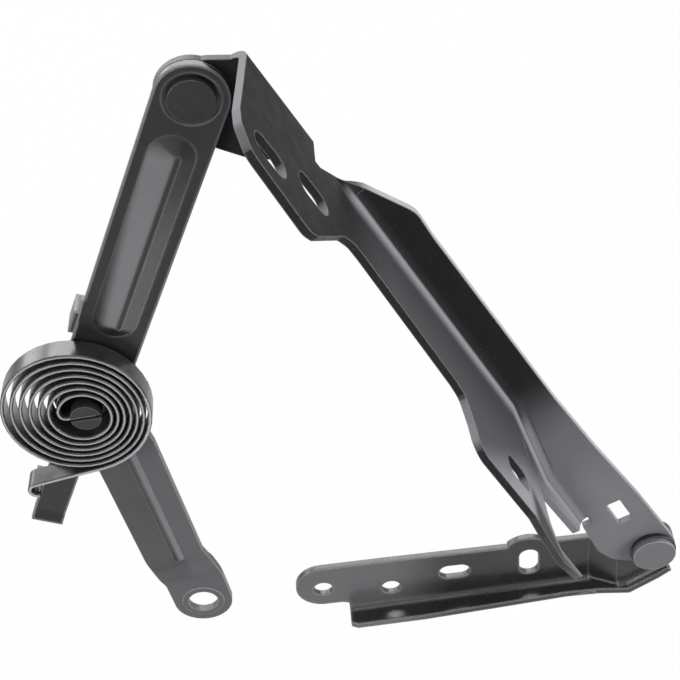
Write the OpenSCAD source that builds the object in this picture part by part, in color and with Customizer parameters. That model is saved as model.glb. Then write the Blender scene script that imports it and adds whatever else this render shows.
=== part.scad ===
// Car bonnet hinge: a rail bolted to the wing, a bonnet bracket pivoted on its end,
// and a two-piece check linkage with a flat spiral spring at its elbow.
// Millimetres. X runs along the rail, Z is up, and Y = 0 is the rail's back face,
// with the whole hinge standing in front of it at negative Y.
// The origin is the middle of the rail's end bolt hole, at that back face.

/* [Sheet metal] */
// Thickness of the rail, the bracket and both arms
sheet = 3; // [2.6:0.1:3.2]
// Inside radius of the long folds
bend_r = 3; // [2:0.5:4]
// How far the rail's lobe is joggled forward of its web
joggle = 6; // [6:0.5:8]

/* [Linkage] */
// Main pivot, along the rail from the end bolt hole
main_x = 150; // [146:1:156]
// Main pivot, above the end bolt hole
main_z = 16; // [15:0.5:18]
// Slope of the bonnet bracket below level, from link pivot to main pivot
bracket_deg = 64.1; // [60:0.1:68]
// Link pivot to main pivot, measured along the bonnet bracket
link_s = 304; // [302:1:308]
// Depth of the link pivot below the main pivot's line along the bracket
link_d = 36; // [35:0.5:37]
// Upper arm from link pivot to elbow
upper_len = 142; // [140:1:146]
// Upper arm's lean from upright
upper_deg = 26.1; // [20:0.1:30]
// Lower arm from elbow to its eye, along the shank
lower_len = 133.5; // [130:0.5:138]
// Lower arm's lean from upright
lower_deg = 7; // [4:0.5:10]

/* [Holes] */
// Radius of the rail's two round bolt holes
bolt_r = 4.5; // [4:0.1:5]
// Width of the rail's two slots
rail_slot_w = 9; // [8:0.5:10]
// Width of the bonnet bracket's slots
bonnet_slot_w = 10.5; // [9:0.5:11.5]
// Length of the bonnet bracket's slots
bonnet_slot_l = 17.5; // [16:0.5:18]
// Radius of the lower arm's eye hole
eye_r = 6.7; // [6:0.1:7.5]

/* [Pivots] */
// Radius of the main pivot and elbow pin shanks
pin_r = 5; // [4.5:0.1:5.2]
// Radius of the link rivet's shank
link_pin_r = 4.5; // [4:0.1:5]
// Wall of the bushes
bush_wall = 1.5; // [1.2:0.1:1.6]
// Radial play between a pin and the bush that turns on it
run_gap = 0.05; // [0.03:0.01:0.08]
// Radius of the main pivot's front head
main_head_r = 9.5; // [9:0.1:10]
// Thickness of the hardened washer at the main pivot
main_washer_t = 1; // [0.8:0.1:1.2]
// Thickness of the thin washers in the linkage
thin_washer_t = 0.5; // [0.4:0.1:0.6]

/* [Spring] */
// Width of the spring strip
strip_w = 9; // [7:0.5:10]
// Thickness of the spring strip
strip_t = 1.5; // [1.2:0.1:1.6]
// Number of whole coils
turns = 6; // [4:1:6]
// Radial step from coil to coil
pitch = 3.07; // [2.9:0.01:3.1]

/* [Hidden] */
$fn = 64;
cut = 1;

// Stack of layers, front to back, as Y of each front face
spacer_t = 1;
lobe_front = -sheet - joggle;
web2_front = lobe_front - main_washer_t - sheet;
web1_front = web2_front + sheet;
arm_front = web1_front - thin_washer_t - sheet;
spring_back = arm_front - spacer_t;
spring_front = spring_back - strip_w;

// Radii that follow from the pins
main_bush_r = pin_r + run_gap + bush_wall;
link_bush_r = link_pin_r + run_gap + bush_wall;
washer_r = 10;
rear_head_r = 8;
rear_head_t = 2.5;

// Front of the main pivot: bush collar, washer and head, each in front of the one before
collar_t = 1.2;
collar_r = 9.6;
front_washer_t = 1.5;
front_washer_r = 10.2;
main_head_t = 2.4;
collar_front = web2_front - collar_t;
head_back = collar_front - front_washer_t;

// Link rivet: a flat head sunk in a shallow dish
dish_r = 9.7;
dish_t = 1;
link_head_r = 8.3;
link_head_t = 2.9;

// Elbow pin's front end, slotted for the spring
elbow_end_r = 6;
elbow_end_out = 1;
slot_play = 0.1;
spacer_r = 9;

// Arm widths
arm_r = 13;
tail_w = 13;
tail_len = 74;

// Rail sizes, from the main pivot's axis
rail_end_r = 12.5;
rail_end = [-main_x, 1.5 - main_z];
flange_start = -139;
rail_slot_up = [-54, -12.9];
rail_slot_flat = [-88.6, -14];
rail_hole_2 = [-118.6, -20.2];

// Bonnet face of the bracket, in the bracket's frame
bonnet_face = -11.8;
lip_face = -20;
bracket_bend_r = 4.5;
bracket_top = -307.5;

steel_dark = [0.17, 0.17, 0.18];
steel_grey = [0.42, 0.43, 0.45];
steel_black = [0.12, 0.12, 0.13];

// A shape drawn in X and Z, standing from y0 back to y1
module slab(y0, y1) {
    translate([0, y1, 0]) rotate([90, 0, 0]) linear_extrude(y1 - y0) children();
}

// A pin or hole along Y through the point p in X and Z
module rod(p, r, y0, y1) {
    slab(y0, y1) translate(p) circle(r);
}

module slot_2d(p, len, w, deg = 0) {
    translate(p) rotate(deg) {
        square([len - w, w], center = true);
        for (s = [-1, 1]) translate([s * (len - w) / 2, 0]) circle(w / 2);
    }
}

// Unit vector along a, and its left-hand normal
function unit(a) = a / norm(a);
function left(a) = [-a[1], a[0]];

// Mitre vector at point i of a line, of the length that keeps an offset of 1
function mitre(line, i) =
    let (last = len(line) - 1)
    let (a = unit(line[i > 0 ? i : 1] - line[i > 0 ? i - 1 : 0]))
    let (b = unit(line[i < last ? i + 1 : last] - line[i < last ? i : last - 1]))
    let (m = unit(left(a) + left(b)))
    m / (m * left(a));
function offset_line(line, d) = [for (i = [0 : len(line) - 1]) line[i] + d * mitre(line, i)];

// Points round a centre, from one angle to another
function arc(centre, r, from, to, steps) =
    [for (i = [0 : steps]) let (a = from + (to - from) * i / steps)
        centre + r * [cos(a), sin(a)]];

// Rounds each inner corner of an open outline by about r, less where its sides are short
function corner(p, a, b, r) =
    let (half = acos(unit(a - p) * unit(b - p)) / 2)
    let (back = min(r / tan(half), 0.45 * min(norm(a - p), norm(b - p))))
    back < 0.3 ? [p] : [for (t = [0, 0.35, 0.65, 1])
        p + back * (pow(1 - t, 2) * unit(a - p) + pow(t, 2) * unit(b - p))];
function soften(points, r) = [
    for (i = [0 : len(points) - 1]) for (q = i == 0 || i == len(points) - 1 ?
        [points[i]] : corner(points[i], points[i - 1], points[i + 1], r)) q];

// Cross-section of a fold: a flange to the front, its inner face at 0, and the quarter
// bend that carries it up into the foot of a web whose front face is at y = front
module fold_section(front, r, reach, foot) {
    centre = [front - r, r];
    polygon(concat([[-reach, -sheet]], arc(centre, r + sheet, -90, 0, 8),
        foot > 0 ? [[front + sheet, r + foot], [front, r + foot]] : [],
        arc(centre, r, 0, -90, 8), [[-reach, 0]]));
}

// Step i of a line, widened to both sides by up and down between its mitres
module step_2d(line, i, up, down) {
    polygon([
        line[i] + up * mitre(line, i), line[i + 1] + up * mitre(line, i + 1),
        line[i + 1] - down * mitre(line, i + 1), line[i] - down * mitre(line, i)]);
}

// That section run along some steps of a line in X and Z, mitred at the corners
module fold_run(line, steps, front, r, reach, foot = 0) {
    for (i = steps) {
        step = line[i + 1] - line[i];
        intersection() {
            translate([line[i][0], 0, line[i][1]])
                rotate([0, -atan2(step[1], step[0]), 0]) translate([-6, 0, 0])
                    rotate([90, 0, 90]) linear_extrude(norm(step) + 12)
                        fold_section(front, r, reach, foot);
            slab(-reach - cut, cut) step_2d(line, i, r + foot, sheet + cut);
        }
    }
}

// Places what is drawn about the main pivot
module at_main() {
    translate([main_x, 0, main_z]) children();
}

// Places what is drawn in the bracket's frame: X along it, Z square to the bonnet
module at_bracket() {
    at_main() rotate([0, bracket_deg, 0]) children();
}

// Places what is drawn in the upper arm's frame: X from link pivot to elbow, Z to its right
module at_upper() {
    at_bracket() translate([-link_s, 0, -link_d])
        rotate([0, 90 - bracket_deg + upper_deg, 0]) children();
}

// Places what is drawn in the lower arm's frame: X down the shank, Z to its right
module at_lower() {
    at_upper() translate([upper_len, 0, 0]) rotate([0, -upper_deg - lower_deg, 0]) children();
}

// Inner face of the rail's flange, from its left end to the tip of the lobe
flange_line = [[flange_start, -32], [-26, -28.4], [-14, -28.4], [-9.5, -28.4], [8.4, -16.6]];
joggle_step = 1;

// Face view of the rail down to where its fold begins, and past it at the joggle
module rail_outline() {
    bottom = offset_line(flange_line, bend_r);
    polygon(concat(
        [rail_end + [0, -rail_end_r], [flange_start - 3, rail_end[1] - rail_end_r],
            [flange_start, rail_end[1] - rail_end_r - 1]],
        [for (i = [0 : joggle_step]) bottom[i]],
        [for (i = [0, 1]) flange_line[joggle_step + i] - [0, 1]],
        [for (i = [joggle_step + 1 : len(bottom) - 1]) bottom[i]],
        [[9, -5], [8, 4], [-3, 9.5], [-15, 3], [-28, -0.8], [-45, -0.8],
            [-64, -1.8], [-120, -1.7], rail_end + [0, rail_end_r]]));
    translate(rail_end) circle(rail_end_r);
    circle(10.5);
    intersection() {
        translate([-54.5, -9.5]) circle(12.8);
        translate([-63.6, -12]) square([24, 20]);
    }
}

// Plan of the rail's sheet, from its left end past the joggle to the lobe
module rail_plan() {
    polygon([[-170, -sheet], [-170, 0], [-25.5, 0], [-13.5, -joggle], [20, -joggle],
        [20, lobe_front], [-14.5, lobe_front], [-26.5, -sheet]]);
}

// Plan of the flange: its front edge draws in along the slot and again at the tip
module flange_plan() {
    polygon([[flange_start, 0], [flange_start, -11.5], [-136, -13], [-104, -13.1],
        [-70, -12], [-38, -10.8], [-22, -11.4], [-10, -12.8], [4, -12.8], [12, -12], [12, 0]]);
}

// Part of the rail's fold and flange, along some steps of the flange line
module rail_fold(steps, front) {
    intersection() {
        fold_run(flange_line, steps, front, bend_r, 20, foot = 2);
        translate([0, 0, -60]) linear_extrude(90) flange_plan();
    }
}

module rail_sheet() {
    intersection() {
        slab(-20, cut) rail_outline();
        translate([0, 0, -60]) linear_extrude(90) rail_plan();
    }
    rail_fold([joggle_step + 1 : len(flange_line) - 2], lobe_front);
    rail_fold([0 : joggle_step - 1], -sheet);
    intersection() {
        slab(-20, -sheet) step_2d(flange_line, joggle_step, 0, sheet);
        translate([0, 0, -60]) linear_extrude(90) flange_plan();
    }
}

module body_rail() {
    color(steel_dark) at_main() difference() {
        rail_sheet();
        rod(rail_end + [0, -1.5], bolt_r, -20, cut);
        rod(rail_hole_2, bolt_r, -20, cut);
        slab(-20, cut) slot_2d(rail_slot_flat, 14.5, rail_slot_w);
        slab(-20, cut) slot_2d(rail_slot_up, 17, rail_slot_w, 90);
        rod([0, 0], pin_r, -20, cut);
    }
}

// Line of the bracket's inner flange face: level, tilted down the tail, level again
fold_line = [[-242, bonnet_face], [-118, bonnet_face], [-70, lip_face], [-31, lip_face]];

// Bonnet face of the bracket seen square on, as points along it and their Y
module bonnet_outline() {
    near = [[bracket_top, -4], [bracket_top, -12], [-309.8, -32.4], [-312, -50.4], [-311.3, -58],
        [-305.6, -66.6], [-274.1, -70.8], [-269, -68], [-251, -48], [-244.2, -44.5],
        [-237.8, -44.4], [-173.9, -49.7], [-167.5, -51.5], [-163.5, -62.1], [-162, -70],
        [-157.5, -74.1], [-118, -73.6], [-101, -69.5], [-85, -63.8], [-70, -59],
        [-52, -54.5]];
    far = [[-49.5, -52.5], [-75, -52.5], [-84, -50], [-87, -40], [-90, -33], [-88, -28.5],
        [-80, -25.5], [-70, -23.4], [-38, -20.5], [-36, -17]];
    polygon(concat(soften(near, 7), soften(far, 7), [[-36, 0],
        [-241, 0], [-246, -11.1], [-263.7, -23.8], [-266.9, -23.9], [-266.9, -4]]));
}

// Side view of web 2, down to where its fold begins
module web2_outline() {
    circle(10.4);
    polygon(concat(offset_line(fold_line, bracket_bend_r),
        soften([[-31, -20], [-12.1, -21.3], [-3.1, -18.4], [6, -8.5]], 8),
        soften([[0, 10.4], [-34.5, 8.9], [-73.8, 5.7], [-109, 3.9], [-208, 2.5],
            [-221.8, 3], [-242, -7.3]], 12)));
}

// Side view of web 1, up to where its fold begins
module web1_outline() {
    top = bonnet_face - sheet - bend_r;
    translate([-link_s, -link_d]) circle(arm_r);
    polygon(concat([[-link_s - arm_r, -link_d], [-311.9, -24.7], [bracket_top, top]],
        soften([[-266.9, top], [-266.9, -28], [-273.4, -35.3], [-281.9, -41.4],
            [-link_s + 2, -link_d - arm_r]], 8)));
}

module bracket_sheet() {
    intersection() {
        union() {
            fold_run(fold_line, [0 : len(fold_line) - 2], web2_front, bracket_bend_r, 90);
            // Flange left of web 2, plain at the far edge
            translate([-320, -90, bonnet_face - sheet])
                cube([320 - 242, 90 + web2_front - bracket_bend_r, sheet]);
            // Fold of web 1, turned down
            translate([-266.9 - 60, 0, 2 * bonnet_face - sheet])
                rotate([90, 0, 90]) linear_extrude(60) translate([0, -bonnet_face])
                    mirror([0, 1]) fold_section(web1_front, bend_r, 60, 0);
        }
        translate([0, 0, -60]) linear_extrude(120) bonnet_outline();
    }
    slab(web2_front, web2_front + sheet) web2_outline();
    slab(web1_front, web1_front + sheet) web1_outline();
}

module bonnet_bracket() {
    color(steel_dark) at_bracket() difference() {
        bracket_sheet();
        translate([-295.5, -55.6, -40]) linear_extrude(60)
            slot_2d([0, 0], bonnet_slot_l, bonnet_slot_w);
        translate([-270, -46, -40]) linear_extrude(60)
            slot_2d([0, 0], bonnet_slot_l, bonnet_slot_w);
        translate([-127, -58.6, -40]) linear_extrude(60)
            slot_2d([0, 0], bonnet_slot_l, bonnet_slot_w - 0.5);
        translate([-106.2, -29, -40]) linear_extrude(60) slot_2d([0, 0], 9, 3.2, -55);
        slab(-20, 0) translate([-38, -5.9]) square([14.7, 6.7]);
        rod([0, 0], main_bush_r, -20, 0);
        rod([-link_s, -link_d], link_pin_r, -20, 0);
    }
}

// Raised bead along X with round ends and a round ridge, standing to the front of y = face.
// Its ridge lies to one side of its middle by aside.
module bead(x0, x1, half_w, h, ridge_r, aside, face) {
    run_in = half_w - ridge_r;
    hull() {
        for (x = [x0, x1]) rod([x, 0], half_w, face, face + 0.3);
        for (x = [x0 - half_w + run_in, x1 + half_w - run_in])
            rod([x, aside], ridge_r, face - h, face);
    }
}

// Bead of the upper arm: its ends, half width, height, ridge and the ridge's shift
bead_from = 23.5;
bead_to = 99.5;
bead_w = 8.4;
bead_h = 3;
bead_ridge_r = 1.2;
bead_aside = 1.8;

// Where the spring's hook hangs, in the upper arm's frame
finger_x = upper_len + 46.5;
finger_z = -8.6;

module upper_arm_sheet() {
    slab(arm_front, arm_front + sheet) {
        circle(arm_r);
        translate([0, -arm_r]) square([upper_len, 2 * arm_r]);
        translate([upper_len, 0]) circle(arm_r);
        translate([upper_len, -tail_w / 2 + 0.5]) square([tail_len - 6, tail_w]);
        translate([finger_x - 1.5, finger_z - 1.3]) square([3, -finger_z + 1.3]);
        translate([94, -arm_r - 3.2]) square([10.4, arm_r + 3.2]);
    }
    // Last stretch of the tail, bent a little forward
    translate([upper_len + tail_len - 6, arm_front + sheet, -tail_w / 2 + 0.5])
        rotate([0, 0, -20]) translate([-0.5, -sheet, 0]) cube([6.5, sheet, tail_w]);
    // Finger for the spring's hook
    translate([finger_x - 1.5, spring_front + 1.5, finger_z - 1.3])
        cube([3, arm_front - spring_front, 2.6]);
    // Guard lug on the left edge, turned forward
    translate([94, arm_front - 7, -arm_r - 3.2]) cube([10.4, 7 + sheet, 2.6]);
    bead(bead_from, bead_to, bead_w, bead_h, bead_ridge_r, bead_aside, arm_front);
}

module upper_arm() {
    color(steel_dark) at_upper() difference() {
        upper_arm_sheet();
        bead(bead_from, bead_to, bead_w - 1, bead_h, bead_ridge_r, bead_aside, arm_front + sheet);
        rod([0, 0], link_bush_r, -30, 0);
        rod([0, 0], dish_r, arm_front - cut, arm_front + dish_t);
        rod([upper_len, 0], main_bush_r, -30, 0);
    }
}

// Middle of the lower arm's eye, and where the arm steps forward to it
eye = [lower_len, 7.8];
step_from = 110;
step_to = 116;

module lower_arm_outline() {
    circle(arm_r);
    polygon(concat(
        soften([[4, -12.6], [34, -10.6], [105, -10.3], [110, -9.6], [114, -7.5], [118, -5.2],
            [eye[0], eye[1] - arm_r]], 8),
        soften([[eye[0], eye[1] + arm_r], [117, 21], [109, 17.2], [104, 15.9], [34, 16.2],
            [4, 12.8]], 8)));
    translate(eye) circle(arm_r);
}

// Edge view of the lower arm: shank, step and eye
module lower_arm_side() {
    back = web1_front + sheet;
    polygon(concat(
        soften([[-20, web1_front], [step_from, web1_front], [step_to, arm_front],
            [160, arm_front]], 5),
        soften([[160, arm_front + sheet], [step_to + 1.2, arm_front + sheet],
            [step_from + 1.2, back], [-20, back]], 5)));
}

module lower_arm() {
    color(steel_grey) at_lower() difference() {
        union() {
            intersection() {
                slab(-20, 0) lower_arm_outline();
                translate([0, 0, -60]) linear_extrude(120) lower_arm_side();
            }
            translate([0, 0, 4.6]) bead(34, 106, 2.2, 1, 0.4, 0, web1_front);
            slab(arm_front - 0.4, arm_front) translate(eye) circle(9.4);
        }
        rod(eye, eye_r, -20, 0);
        rod([0, 0], pin_r, -20, 0);
    }
}

// Middle line of the spring: out of the pin's slot to the left, up into the coils, round
// them and out to the hook. The coils are a little oval and creep to the left as they grow.
slot_deg = 3;
slot_left = -7.6;
start_deg = 180;
end_deg = -80;
coil_r = 9.8;
coil_end = turns + (start_deg - end_deg) / 360;
function coil_mid(t) = (1 + 0.53 * t) * [-cos(20), sin(20)];
function coil_point(t) =
    let (a = start_deg - 360 * t, r = coil_r + pitch * t)
    coil_mid(t) + [0.97 * r * cos(a), 1.03 * r * sin(a)];
function slot_point(x) = x * [cos(slot_deg), sin(slot_deg)];
root_r = 2.4;
hook = [-28.1, -37.8];
hook_r = 3;
function hook_point(a) = hook + hook_r * [cos(a), sin(a)];
spring_line = concat(
    [for (x = [4.4, 0, slot_left]) slot_point(x)],
    arc(slot_point(slot_left) + [0, root_r], root_r, -115, -175, 3),
    [for (t = [0.05 : 0.025 : coil_end - 0.01]) coil_point(t)],
    [coil_point(coil_end), [-14, -32]],
    [for (a = [101 : 15 : 281]) hook_point(a)]);

module spiral_spring() {
    edge = offset_line(spring_line, strip_t / 2);
    other = offset_line(spring_line, -strip_t / 2);
    last = len(spring_line) - 1;
    color(steel_black) at_elbow() slab(spring_front, spring_back)
        polygon(concat(edge, [for (i = [last : -1 : 0]) other[i]]));
}

// Places what is drawn upright about the elbow
module at_elbow() {
    at_upper() translate([upper_len, 0, 0]) rotate([0, -90 - upper_deg, 0]) children();
}

module main_pivot_pin() {
    color(steel_grey) at_main() {
        rod([0, 0], pin_r, head_back, -joggle);
        rod([0, 0], main_head_r, head_back - main_head_t, head_back);
        rod([0, 0], rear_head_r, -joggle, -joggle + rear_head_t);
    }
}

module main_pivot_bush() {
    color(steel_grey) at_main() difference() {
        union() {
            rod([0, 0], main_bush_r, collar_front, web2_front + sheet);
            rod([0, 0], collar_r, collar_front, web2_front);
        }
        rod([0, 0], pin_r + run_gap, -40, 0);
    }
}

// A flat washer between two Y planes, in the frame it is called in
module washer(r, hole, y0, y1) {
    difference() {
        rod([0, 0], r, y0, y1);
        rod([0, 0], hole, y0 - cut, y1 + cut);
    }
}

module main_front_washer() {
    color(steel_black) at_main()
        washer(front_washer_r, pin_r + run_gap, head_back, collar_front);
}

module main_middle_washer() {
    color(steel_black) at_main() washer(washer_r, pin_r + run_gap, web1_front, lobe_front);
}

module link_rivet() {
    color(steel_black) at_upper() {
        rod([0, 0], link_pin_r, arm_front + dish_t, web1_front + sheet);
        rod([0, 0], link_head_r, arm_front + dish_t - link_head_t, arm_front + dish_t);
        rod([0, 0], rear_head_r, web1_front + sheet, web1_front + sheet + rear_head_t);
    }
}

module link_bush() {
    color(steel_grey) at_upper()
        washer(link_bush_r, link_pin_r + run_gap, arm_front + dish_t, arm_front + sheet);
}

module link_washer() {
    color(steel_black) at_upper()
        washer(washer_r, link_pin_r + run_gap, arm_front + sheet, web1_front);
}

module elbow_pin() {
    color(steel_black) at_elbow() difference() {
        union() {
            rod([0, 0], pin_r, spring_back, web1_front + sheet);
            rod([0, 0], elbow_end_r, spring_front - elbow_end_out, spring_back);
            rod([0, 0], rear_head_r, web1_front + sheet, web1_front + sheet + rear_head_t);
        }
        slab(spring_front - elbow_end_out - cut, spring_back) rotate(slot_deg)
            square([4 * elbow_end_r, strip_t + slot_play], center = true);
    }
}

module elbow_bush() {
    color(steel_grey) at_elbow()
        washer(main_bush_r, pin_r + run_gap, arm_front, arm_front + sheet);
}

module elbow_washer() {
    color(steel_black) at_elbow()
        washer(washer_r, pin_r + run_gap, arm_front + sheet, web1_front);
}

module spring_spacer() {
    color(steel_grey) at_elbow() washer(spacer_r, pin_r + run_gap, spring_back, arm_front);
}

body_rail();
bonnet_bracket();
upper_arm();
lower_arm();
spiral_spring();
main_pivot_pin();
main_pivot_bush();
main_front_washer();
main_middle_washer();
link_rivet();
link_bush();
link_washer();
elbow_pin();
elbow_bush();
elbow_washer();
spring_spacer();
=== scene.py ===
from math import cos, radians, sin

import bpy
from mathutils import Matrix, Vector


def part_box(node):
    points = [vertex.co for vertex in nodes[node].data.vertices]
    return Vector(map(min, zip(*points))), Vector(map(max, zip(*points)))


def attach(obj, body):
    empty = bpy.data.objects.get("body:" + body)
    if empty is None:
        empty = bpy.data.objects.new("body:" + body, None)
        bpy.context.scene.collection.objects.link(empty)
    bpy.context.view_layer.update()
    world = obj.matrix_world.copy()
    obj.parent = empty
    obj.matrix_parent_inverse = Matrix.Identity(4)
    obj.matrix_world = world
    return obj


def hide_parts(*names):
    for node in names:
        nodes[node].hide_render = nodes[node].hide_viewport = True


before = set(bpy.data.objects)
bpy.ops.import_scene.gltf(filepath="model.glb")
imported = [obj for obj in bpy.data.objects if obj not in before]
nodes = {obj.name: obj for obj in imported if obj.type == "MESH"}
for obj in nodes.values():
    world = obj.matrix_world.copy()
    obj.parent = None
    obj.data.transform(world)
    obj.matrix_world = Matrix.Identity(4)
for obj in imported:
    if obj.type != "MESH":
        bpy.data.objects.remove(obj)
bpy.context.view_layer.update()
scene = bpy.context.scene

MM = 0.001
WHITE = (1, 1, 1, 1)

# The camera was fitted to the photograph: it looks down at the hinge from the front
CAMERA_PLACE_MM = (31.75, -410.24, 512.12)
CAMERA_TURN_DEG = (48.298, 5.589, -3.688)
CAMERA_LENS_MM = 73.48
CAMERA_SENSOR_MM = 36
CAMERA_NEAR, CAMERA_FAR = 0.01, 50

# Finish of the edges: corners nearer than MERGE_MM are one point, bends flatter than SHARP_DEG shade
# smooth, and edges bent more than BEVEL_DEG are rounded
MERGE_MM = 0.03
SHARP_DEG = 15
BEVEL_DEG = 50
BEVEL_STEPS = 3

# Rounding of the edges in mm
SHEET_EDGE, PIN_EDGE, RIVET_EDGE, BUSH_EDGE, SPRING_EDGE, CORNER_EDGE = 0.35, 0.5, 0.4, 0.15, 0.5, 0.3

# The bracket's axes in the part, with the main pivot in mm: along the bracket, and square to its slotted face
PIVOT = Vector((150, 0, 16))
UP_ARM = Vector((-0.436802, 0, 0.899558))
OUT = Vector((0.899558, 0, 0.436802))

# The spring in the part, in mm: the elbow's x and z, and the strip's thickness
ELBOW_X, ELBOW_Z = -77.64, 146.22
STRIP_T = 1.5

# The closing hinge swings its arms to 0.24 m below the rail, so the floor lies lower
FLOOR_Z = -0.26
FLOOR_MID_X = 0.05
FLOOR_HALF = 6.0


def add_object(name, data):
    obj = bpy.data.objects.new(name, data)
    scene.collection.objects.link(obj)
    return obj


def add_mesh(name, verts, faces, mat):
    mesh = bpy.data.meshes.new(name)
    mesh.from_pydata(verts, [], faces)
    mesh.materials.append(mat)
    return add_object(name, mesh)


def add_camera():
    data = bpy.data.cameras.new("camera")
    data.sensor_width = CAMERA_SENSOR_MM
    data.lens = CAMERA_LENS_MM
    data.clip_start, data.clip_end = CAMERA_NEAR, CAMERA_FAR
    camera = add_object("camera", data)
    camera.location = [c * MM for c in CAMERA_PLACE_MM]
    camera.rotation_euler = [radians(turn) for turn in CAMERA_TURN_DEG]
    scene.camera = camera


add_camera()


def smooth_group():
    """A geometry group that joins the split corners and shades smooth, with sharper bends left as edges."""
    group = bpy.data.node_groups.new("smooth_by_angle", "GeometryNodeTree")
    for way in ("INPUT", "OUTPUT"):
        group.interface.new_socket("Geometry", in_out=way, socket_type="NodeSocketGeometry")
    new, link = group.nodes.new, group.links.new
    start = new("NodeGroupInput")
    end = new("NodeGroupOutput")
    merge = new("GeometryNodeMergeByDistance")
    merge.inputs["Distance"].default_value = MERGE_MM * MM
    plain = new("GeometryNodeRemoveAttribute")
    plain.inputs["Name"].default_value = "custom_normal"
    faces = new("GeometryNodeSetShadeSmooth")
    faces.domain = "FACE"
    edges = new("GeometryNodeSetShadeSmooth")
    edges.domain = "EDGE"
    angle = new("GeometryNodeInputMeshEdgeAngle")
    small = new("FunctionNodeCompare")
    small.data_type = "FLOAT"
    small.operation = "LESS_THAN"
    small.inputs[1].default_value = radians(SHARP_DEG)
    link(start.outputs[0], merge.inputs["Geometry"])
    link(merge.outputs[0], plain.inputs["Geometry"])
    link(plain.outputs[0], faces.inputs["Geometry"])
    link(faces.outputs[0], edges.inputs["Geometry"])
    link(angle.outputs["Unsigned Angle"], small.inputs[0])
    link(small.outputs[0], edges.inputs["Shade Smooth"])
    link(edges.outputs[0], end.inputs[0])
    return group


SMOOTH = smooth_group()


def finish_edges(obj, width_mm):
    """Smooth shading and slightly rounded edges, as pressed steel has."""
    smooth = obj.modifiers.new("smooth", "NODES")
    smooth.node_group = SMOOTH
    bevel = obj.modifiers.new("edges", "BEVEL")
    bevel.width = width_mm * MM
    bevel.segments = BEVEL_STEPS
    bevel.limit_method = "ANGLE"
    bevel.angle_limit = radians(BEVEL_DEG)
    bevel.use_clamp_overlap = True
    even = obj.modifiers.new("even", "WEIGHTED_NORMAL")
    even.keep_sharp = True


def noise(tree, coords, scale, detail, rough=0.5):
    """Cloudy noise, mostly between 0.3 and 0.7, that is finer the larger its scale."""
    node = tree.nodes.new("ShaderNodeTexNoise")
    node.inputs["Scale"].default_value = scale
    node.inputs["Detail"].default_value = detail
    node.inputs["Roughness"].default_value = rough
    tree.links.new(coords, node.inputs["Vector"])
    return node.outputs["Fac"]


def span(tree, value, low, high, to_low=0.0, to_high=1.0, smooth=False):
    """The value with low to high spread over to_low to to_high."""
    node = tree.nodes.new("ShaderNodeMapRange")
    if smooth:
        node.interpolation_type = "SMOOTHSTEP"
    node.inputs["From Min"].default_value = low
    node.inputs["From Max"].default_value = high
    node.inputs["To Min"].default_value = to_low
    node.inputs["To Max"].default_value = to_high
    tree.links.new(value, node.inputs["Value"])
    return node.outputs["Result"]


def blend(tree, factor, a, b):
    """Colour a where the factor is 0 and colour b where it is 1."""
    node = tree.nodes.new("ShaderNodeMix")
    node.data_type = "RGBA"
    share, first, second, result = node.inputs[0], node.inputs[6], node.inputs[7], node.outputs[2]
    for socket, colour in ((first, a), (second, b)):
        if isinstance(colour, tuple):
            socket.default_value = colour + (1.0,)
        else:
            tree.links.new(colour, socket)
    tree.links.new(factor, share)
    return result


def maths(tree, operation, a, b):
    """Two values, each a socket or a number, taken together."""
    node = tree.nodes.new("ShaderNodeMath")
    node.operation = operation
    for socket, value in zip(node.inputs, (a, b)):
        if isinstance(value, (int, float)):
            socket.default_value = value
        else:
            tree.links.new(value, socket)
    return node.outputs[0]


def grey(value, tint=0.07):
    """A grey with a trace of blue."""
    return (value, value, value * (1 + tint))


def facing(tree, normal, direction, low, high):
    """1 on the faces turned in a direction of the row's frame, 0 where they turn away from it."""
    node = tree.nodes.new("ShaderNodeVectorMath")
    node.operation = "DOT_PRODUCT"
    node.inputs[1].default_value = tuple(Vector(direction).normalized())
    tree.links.new(normal, node.inputs[0])
    return span(tree, node.outputs["Value"], low, high)


def ramp(tree, coords, start, end):
    """0 to 1 along the line from start to end, both in mm in the row's frame."""
    way = Vector(end) - Vector(start)
    shift = tree.nodes.new("ShaderNodeVectorMath")
    shift.operation = "SUBTRACT"
    shift.inputs[1].default_value = tuple(c * MM for c in start)
    along = tree.nodes.new("ShaderNodeVectorMath")
    along.operation = "DOT_PRODUCT"
    along.inputs[1].default_value = tuple(c / (way.length_squared * MM) for c in way)
    tree.links.new(coords, shift.inputs[0])
    tree.links.new(shift.outputs[0], along.inputs[0])
    return span(tree, along.outputs["Value"], 0.0, 1.0, smooth=True)


def painted_light_patch(tone, turned, *lines):
    """A place of painted light or shade in a tone of its own: turned = (direction, low, high) keeps it to the faces
    turned that way, and each line is a (start, end) pair along which it grows."""
    return tone, turned, lines


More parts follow.
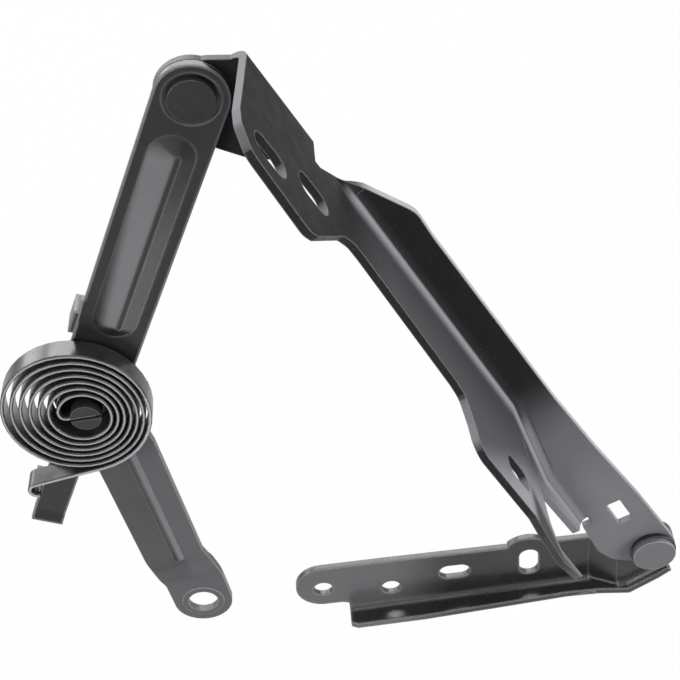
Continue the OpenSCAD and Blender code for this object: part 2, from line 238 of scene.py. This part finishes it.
def coat(name, dark, light, rough, specular, edge, painted_light_patches=(), round_mm=0.7):
    """A dip coat on pressed steel: faint mottling, a fine orange peel, dust specks, edges paler partly from wear
    and partly as a painted highlight, and places of painted light and shade given to it.
    """
    mottle_scale, uneven_scale, gloss_scale, peel_scale, dust_scale = 70, 45, 160, 900, 1400
    noise_low, noise_high = 0.3, 0.7
    wear_and_highlight_from, wear_and_highlight_to, wear_and_highlight_share = 0.985, 0.86, 0.8
    dust_from, dust_to, dust_share, dust_tone = 0.72, 0.78, 0.12, 0.6
    smoother, rougher = 0.04, 0.06
    peel_strength, peel_depth_mm = 0.1, 0.1

    mat = bpy.data.materials.new(name)
    mat.use_nodes = True
    tree = mat.node_tree
    link = tree.links.new
    bsdf = tree.nodes["Principled BSDF"]
    coords = tree.nodes.new("ShaderNodeTexCoord").outputs["Object"]

    mottle = span(tree, noise(tree, coords, mottle_scale, 4, 0.6), noise_low, noise_high)
    base = blend(tree, mottle, grey(dark), grey(light))

    round_off = tree.nodes.new("ShaderNodeBevel")
    round_off.samples = 4
    round_off.inputs["Radius"].default_value = round_mm * MM
    own = tree.nodes.new("ShaderNodeVectorTransform")
    own.vector_type = "NORMAL"
    own.convert_from = "WORLD"
    own.convert_to = "OBJECT"
    link(round_off.outputs[0], own.inputs[0])

    # Painted light and shade, each in a tone of its own, laid over the coat's tone with a little unevenness
    uneven = noise(tree, coords, uneven_scale, 3, 0.6)
    uneven = span(tree, uneven, noise_low, noise_high, 0.9, 1.0)
    for tone, turned, lines in painted_light_patches:
        share = uneven
        if turned:
            share = maths(tree, "MULTIPLY", share, facing(tree, own.outputs[0], *turned))
        for start, end in lines:
            share = maths(tree, "MULTIPLY", share, ramp(tree, coords, start, end))
        base = blend(tree, share, base, grey(tone))

    # The bevelled normal turns away from the face's own one near an edge, where the coat wears first; the paler
    # edge tone there is partly that wear and partly a painted highlight
    flat = tree.nodes.new("ShaderNodeNewGeometry").outputs["Normal"]
    turn = tree.nodes.new("ShaderNodeVectorMath")
    turn.operation = "DOT_PRODUCT"
    link(round_off.outputs[0], turn.inputs[0])
    link(flat, turn.inputs[1])
    wear_and_highlight = span(tree, turn.outputs["Value"], wear_and_highlight_from, wear_and_highlight_to, 0.0, wear_and_highlight_share)
    base = blend(tree, wear_and_highlight, base, grey(edge))
    dust = span(tree, noise(tree, coords, dust_scale, 1), dust_from, dust_to, 0.0, dust_share)
    base = blend(tree, dust, base, grey(dust_tone))
    link(base, bsdf.inputs["Base Color"])

    gloss = noise(tree, coords, gloss_scale, 3)
    gloss = span(tree, gloss, noise_low, noise_high, rough - smoother, rough + rougher)
    link(gloss, bsdf.inputs["Roughness"])
    bsdf.inputs["Specular IOR Level"].default_value = specular
    peel = tree.nodes.new("ShaderNodeBump")
    peel.inputs["Strength"].default_value = peel_strength
    peel.inputs["Distance"].default_value = peel_depth_mm * MM
    link(noise(tree, coords, peel_scale, 2), peel.inputs["Height"])
    link(round_off.outputs[0], peel.inputs["Normal"])
    link(peel.outputs[0], bsdf.inputs["Normal"])
    return mat


# Faces turned to the front of the hinge, and the bracket's slotted face, for the painted light and shade below
FRONT = ((0, -1, 0), 0.7, 0.95)
FLANGE = ((0.9, 0, 0.437), 0.71, 0.87)

RAIL_PAINTED_LIGHT = [
    # Painted light, paler towards its end bolt hole
    painted_light_patch(0.100, FRONT, ((64, 0, 0), (28, 0, 0))),
]
BRACKET_PAINTED_LIGHT = [
    # The lower web, with painted light that grows paler towards the main pivot
    painted_light_patch(0.175, FRONT, ((88, -13, 126), (108, -13, 92))),
    # The slotted face: painted shade at the top, painted light below its slots, and a painted highlight along the
    # fold
    painted_light_patch(0.011, FLANGE),
    painted_light_patch(0.062, FLANGE, ((27.3, -42.5, 241.7), (45.7, -47, 203.9))),
    painted_light_patch(0.36, FLANGE, ((0, -23, 0), (0, -12, 0)), ((0, 0, 236), (0, 0, 226))),
    # The tab with the third slot, with painted light that grows towards its free edge
    painted_light_patch(0.26, FLANGE, ((74, -58, 145), (80, -78, 133))),
    # Painted highlights on the lip by the tail and on the cut edges that look up the bracket, and painted shade on
    # the tail
    painted_light_patch(0.20, ((0.45, -0.87, 0.22), 0.92, 0.98), ((0, 0, 112), (0, 0, 98))),
    painted_light_patch(0.20, ((-0.437, 0, 0.9), 0.6, 0.95)),
    painted_light_patch(0.03, None, ((0, 0, 120), (0, 0, 108)), ((0, -50, 0), (0, -60, 0))),
]
UPPER_PAINTED_LIGHT = [
    # Painted light on the left slope of the bead, except at its ends, and on the right slope, paler downwards
    painted_light_patch(0.165, ((-0.28, -0.95, 0.14), 0.970, 0.995),
          ((-28, -16, 262), (-31, -16, 252)), ((-47, -16, 234), (-42, -16, 232))),
    painted_light_patch(0.080, ((0.44, -0.87, -0.21), 0.96, 0.99), ((-33, -16, 254), (-45, -16, 220))),
]
LOWER_PAINTED_LIGHT = [
    # Painted light on the shank to the right of the bead, and on the eye
    painted_light_patch(0.088, None, ((-66.6, 0, 80.3), (-62.6, 0, 81)), ((0, 0, 24), (0, 0, 36))),
    painted_light_patch(0.085, None, ((0, 0, 38), (0, 0, 26))),
    # Painted shade on the left slope of the bead and a painted highlight on the right slope
    painted_light_patch(0.015, ((-0.477, -0.875, -0.087), 0.95, 0.99)),
    painted_light_patch(0.18, ((0.477, -0.875, 0.087), 0.95, 0.99)),
]
SPRING_PAINTED_HIGHLIGHT = [
    # A painted highlight on the front edge of the strip
    painted_light_patch(0.40, ((0, -1, 0), 0.96, 0.995)),
]

# Each coat's edge tone is partly wear and partly painted highlight, and its lists hold painted light and shade
rail_coat = coat("rail_coat", 0.012, 0.018, 0.26, 0.60, 0.30, RAIL_PAINTED_LIGHT, round_mm=1.6)
bracket_coat = coat("bracket_coat", 0.020, 0.024, 0.36, 0.03, 0.30, BRACKET_PAINTED_LIGHT)
upper_coat = coat("upper_coat", 0.011, 0.017, 0.30, 0.50, 0.45, UPPER_PAINTED_LIGHT, round_mm=1.8)
lower_coat = coat("lower_coat", 0.050, 0.066, 0.34, 0.45, 0.40, LOWER_PAINTED_LIGHT)
spring_coat = coat("spring_coat", 0.018, 0.026, 0.24, 0.60, 0.05, SPRING_PAINTED_HIGHLIGHT, round_mm=0.5)
pin_coat = coat("pin_coat", 0.105, 0.125, 0.38, 0.45, 0.60)
rivet_coat = coat("rivet_coat", 0.018, 0.025, 0.36, 0.40, 0.14)
bush_coat = coat("bush_coat", 0.006, 0.010, 0.32, 0.40, 0.14)


def dress(mat, width_mm, *names):
    """The CAD nodes with these names get the coat and rounded edges."""
    for name in names:
        obj = nodes[name]
        obj.data.materials.clear()
        obj.data.materials.append(mat)
        finish_edges(obj, width_mm)


dress(rail_coat, SHEET_EDGE, "body_rail")
dress(bracket_coat, SHEET_EDGE, "bonnet_bracket")
dress(upper_coat, SHEET_EDGE, "upper_arm")
dress(lower_coat, SHEET_EDGE, "lower_arm")
dress(spring_coat, SPRING_EDGE, "spiral_spring")
dress(pin_coat, PIN_EDGE, "main_pivot_pin")
dress(rivet_coat, RIVET_EDGE, "link_rivet", "elbow_pin")
dress(bush_coat, BUSH_EDGE, "main_pivot_bush", "main_front_washer", "main_middle_washer", "link_bush",
      "link_washer", "elbow_bush", "elbow_washer", "spring_spacer")


def fold_corner():
    """The slanted corner of sheet between the slotted face and the lower web, which runs on from their fold."""
    # The fold as in the part, in mm: where it starts, its inner radius, and the sheet
    bend_y, bend_out, radius, sheet = -17.5, -11.8, 4.5, 3.0
    # The corner's ends along the bracket, its height over the part's sheet, and its flat run before the fold
    top, foot, lift, flat_run = 254.9, 240.8, 0.06, 1.2
    # The bend is whole a little before the foot, and the outer side lies just under the part's sheet
    overrun, sunk = 1.09, 0.1
    steps, turns = 14, 10
    rings = []
    for i in range(steps + 1):
        share = i / steps
        reach = radians(90) * min(1, overrun * share)
        up = top + (foot - top) * share
        ring = []
        for r in (radius - lift, radius + sheet - sunk):
            line = [(bend_y - flat_run, bend_out + radius - r)]
            for k in range(turns + 1):
                a = reach * k / turns
                line.append((bend_y + r * sin(a), bend_out + radius - r * cos(a)))
            ring += line if r < radius else line[::-1]
        rings.append([PIVOT + UP_ARM * up + OUT * w + Vector((0, y, 0)) for y, w in ring])
    count = len(rings[0])
    verts = [tuple(p * MM) for ring in rings for p in ring]
    faces = []
    for start in range(0, steps * count, count):
        for k in range(count):
            after = (k + 1) % count
            faces.append((start + k, start + after, start + count + after, start + count + k))
    faces += [tuple(range(count))[::-1], tuple(range(steps * count, (steps + 1) * count))]
    obj = add_mesh("fold_corner", verts, faces, bracket_coat)
    finish_edges(obj, CORNER_EDGE)
    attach(obj, "bracket")


fold_corner()


def arc(centre, r, first, last, steps):
    """Points on an arc from angle first to angle last, in degrees."""
    angles = [radians(first + (last - first) * i / steps) for i in range(steps + 1)]
    return [Vector(centre) + r * Vector((cos(a), sin(a))) for a in angles]


def coil_point(t):
    """A point of the spring's middle line after t turns, in mm about the elbow, x to the right and z up."""
    start_deg, first_r, pitch = 180, 9.8, 3.07
    wide, tall = 0.97, 1.03
    # The coils creep up and to the left as they grow
    creep_deg, creep = 20, 1 + 0.53 * t
    a, r = radians(start_deg - 360 * t), first_r + pitch * t
    return Vector((wide * r * cos(a) - creep * cos(radians(creep_deg)),
                   tall * r * sin(a) + creep * sin(radians(creep_deg))))


def strip(name, line, body, lift):
    """Flat steel strip along a line about the elbow, as wide as the part's spring and lift mm thicker all round."""
    low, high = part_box("spiral_spring")
    front, back = low[1] - lift * MM, high[1] + lift * MM
    verts = []
    for i, point in enumerate(line):
        ways = [(line[k + 1] - line[k]).normalized() for k in (i - 1, i) if 0 <= k < len(line) - 1]
        sides = [Vector((-way.y, way.x)) for way in ways]
        mitre = sum(sides, Vector((0, 0)))
        mitre *= (STRIP_T / 2 + lift) / mitre.dot(sides[0])
        for x, z in (point + mitre, point - mitre):
            x, z = (x + ELBOW_X) * MM, (z + ELBOW_Z) * MM
            verts += [(x, front, z), (x, back, z)]
    faces = [(0, 1, 3, 2), tuple(len(verts) + k for k in (-4, -2, -1, -3))]
    for i in range(0, len(verts) - 4, 4):
        for a, b in ((0, 1), (1, 3), (3, 2), (2, 0)):
            faces.append((i + a, i + 4 + a, i + 4 + b, i + b))
    obj = add_mesh(name, verts, faces, spring_coat)
    finish_edges(obj, SPRING_EDGE)
    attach(obj, body)
    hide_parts("spiral_spring")


def spring():
    """The part's spring in two pieces: the coils turn with the elbow pin and the hook stays on the upper arm's
    finger. The hook's piece has a share of the last coil too, which hides the coils' end at rest. As the elbow
    folds the coils swing aside, because they aren't centred on it, and the two pieces no longer line up."""
    # The inner end: through the pin's slot from right to left, and up round a small bend into the coils
    slot_deg, slot_right, slot_left, root_r = 3, 4.4, -7.6, 2.4
    # The coils, counted in turns, and the share of the last one that the hook's piece has too
    first, step, count, end, shared = 0.05, 0.025, 267, 6 + 260 / 360, 0.25
    # The hook, whose piece is thicker by its lift so that it hides the coils' end at rest
    hook_start, hook_mid, hook_r, hook_lift = (-14, -32), (-28.1, -37.8), 3, 0.06
    along = Vector((cos(radians(slot_deg)), sin(radians(slot_deg))))
    coils = [along * x for x in (slot_right, 0, slot_left)]
    coils += arc(along * slot_left + Vector((0, root_r)), root_r, -115, -175, 3)
    coils += [coil_point(first + step * i) for i in range(count)] + [coil_point(end)]
    hook = [coil_point(end - shared + shared * i / 10) for i in range(11)] + [Vector(hook_start)]
    hook += arc(hook_mid, hook_r, 101, 281, 24)
    strip("spring_coils", coils, "lower_arm", 0.0)
    strip("spring_hook", hook, "upper_arm", hook_lift)


spring()


def backdrop(name, diffuse, shown, mirrored):
    """Pale to the object's light, white to the camera and paler in reflections, with a soft shadow left in."""
    mat = bpy.data.materials.new(name)
    mat.use_nodes = True
    tree = mat.node_tree
    tree.nodes.clear()
    link = tree.links.new
    plain = tree.nodes.new("ShaderNodeBsdfDiffuse")
    plain.inputs["Color"].default_value = (diffuse, diffuse, diffuse, 1)
    glow = tree.nodes.new("ShaderNodeEmission")
    glow.inputs["Color"].default_value = WHITE
    rays = tree.nodes.new("ShaderNodeLightPath").outputs
    bounced = maths(tree, "MAXIMUM", rays["Is Glossy Ray"], rays["Is Transmission Ray"])
    dimmed = maths(tree, "MULTIPLY", bounced, mirrored)
    direct = maths(tree, "MULTIPLY", rays["Is Camera Ray"], shown)
    mix = tree.nodes.new("ShaderNodeMixShader")
    out = tree.nodes.new("ShaderNodeOutputMaterial")
    link(maths(tree, "MAXIMUM", direct, dimmed), mix.inputs[0])
    link(plain.outputs[0], mix.inputs[1])
    link(glow.outputs[0], mix.inputs[2])
    link(mix.outputs[0], out.inputs["Surface"])
    return mat


def add_floor():
    corners = [(x * FLOOR_HALF, y * FLOOR_HALF, 0) for x, y in ((-1, -1), (1, -1), (1, 1), (-1, 1))]
    floor = add_mesh("floor", corners, [(0, 1, 2, 3)], backdrop("floor_pale", 0.5, 0.97, 0.25))
    floor.location = (FLOOR_MID_X, 0, FLOOR_Z)


add_floor()


def add_world(fill_strength, white_strength):
    """An even fill light, which the camera and reflections see as plain white."""
    world = bpy.data.worlds.new("studio")
    scene.world = world
    world.use_nodes = True
    tree = world.node_tree
    tree.nodes.clear()
    link = tree.links.new
    rays = tree.nodes.new("ShaderNodeLightPath").outputs
    seen = maths(tree, "MAXIMUM", rays["Is Camera Ray"], rays["Is Glossy Ray"])
    pick = tree.nodes.new("ShaderNodeMixShader")
    sky = tree.nodes.new("ShaderNodeOutputWorld")
    link(maths(tree, "MAXIMUM", seen, rays["Is Transmission Ray"]), pick.inputs[0])
    for socket, strength in ((pick.inputs[1], fill_strength), (pick.inputs[2], white_strength)):
        light = tree.nodes.new("ShaderNodeBackground")
        light.inputs["Color"].default_value = WHITE
        light.inputs["Strength"].default_value = strength
        link(light.outputs[0], socket)
    link(pick.outputs[0], sky.inputs["Surface"])


add_world(0.35, 1.0)

# Soft lamps round the hinge, all aimed at its middle: name, place, size in metres, watts
AIM = Vector((0.04, -0.01, 0.13))
LAMPS = [
    ("lamp_back", (0.1, 1.5, 1.35), (2.0, 1.1), 40),
    ("lamp_left", (-1.0, -0.8, 0.55), (0.5, 0.8), 9),
    ("lamp_right", (1.0, -0.6, 0.35), (0.5, 0.8), 9),
    ("lamp_top", (0.2, -0.3, 1.5), (0.7, 0.7), 7),
    ("lamp_back_left", (-1.1, 1.35, 0.7), (0.8, 0.7), 8),
]


def lamp(name, place, size, watts):
    data = bpy.data.lights.new(name, "AREA")
    data.shape = "RECTANGLE"
    data.size, data.size_y = size
    data.energy = watts
    obj = add_object(name, data)
    obj.location = place
    obj.rotation_euler = (AIM - Vector(place)).to_track_quat("-Z", "Y").to_euler()
    obj.visible_camera = False


for row in LAMPS:
    lamp(*row)

scene.view_settings.view_transform = "Standard"
